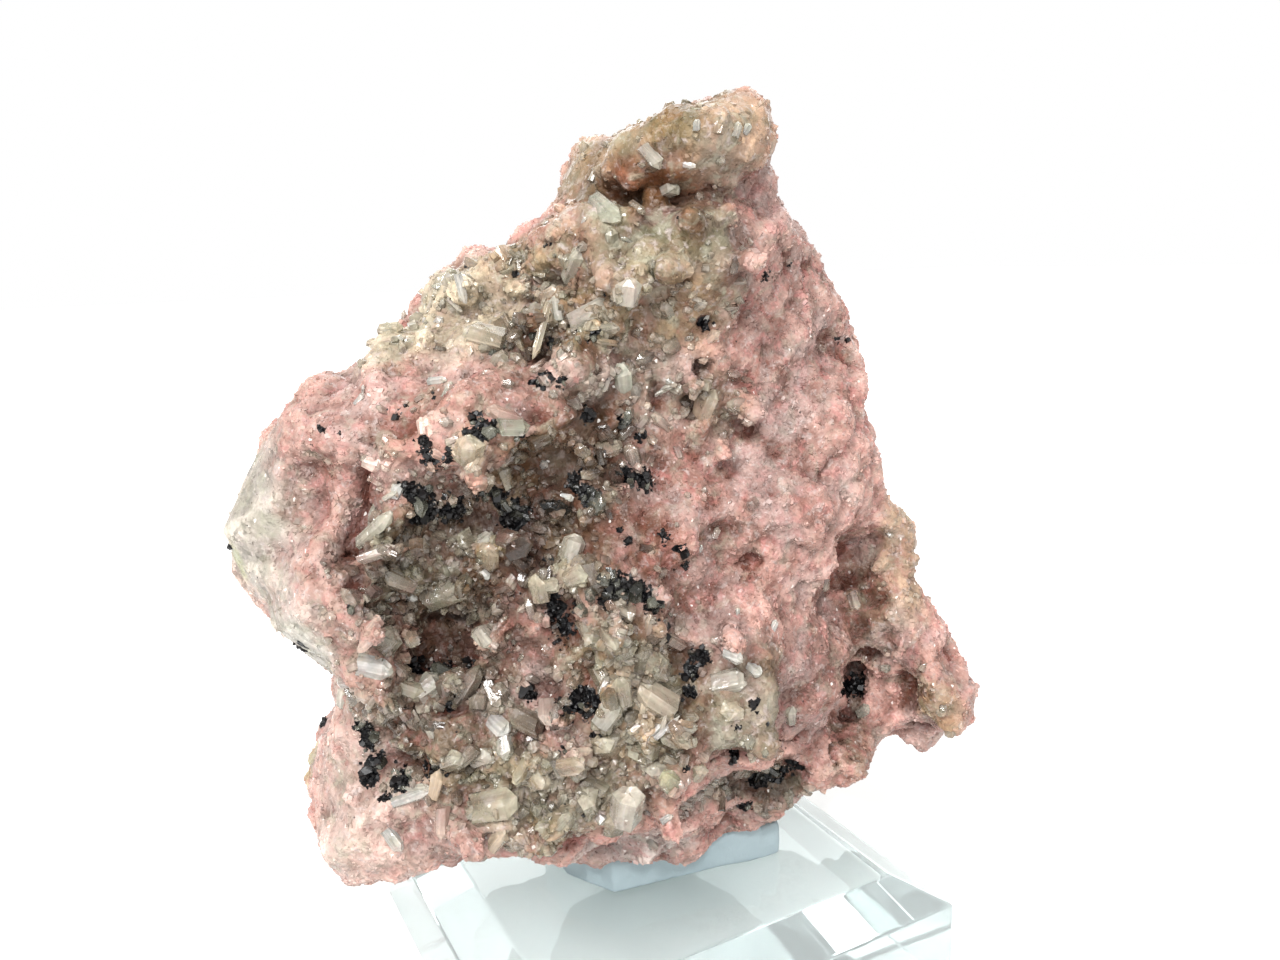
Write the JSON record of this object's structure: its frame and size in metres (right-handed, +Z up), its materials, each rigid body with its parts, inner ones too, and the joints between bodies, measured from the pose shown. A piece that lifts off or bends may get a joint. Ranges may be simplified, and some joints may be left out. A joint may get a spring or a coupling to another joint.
{
  "type": "rhodochrosite mineral specimen on acrylic base",
  "caption": "Pink rhodochrosite crusted with quartz prisms and dark crystals, fixed with putty on a clear bevelled square base.",
  "frame": {"origin": "centre of the acrylic base's underside", "axes": "+Z up; +X to the right along the base's front edge; +Y towards the back, away from the specimen's showing face"},
  "size_m": [0.0782, 0.0517, 0.0951],
  "materials": {
    "rhodochrosite": "sugary crystalline pink with pale quartz and dark sphalerite",
    "putty": "matte mineral putty",
    "acrylic": "clear polished acrylic"
  },
  "bodies": {
    "root": {"rhodochrosite_specimen": "rhodochrosite", "putty": "putty", "acrylic_base": "acrylic"}
  },
  "joints": []
}
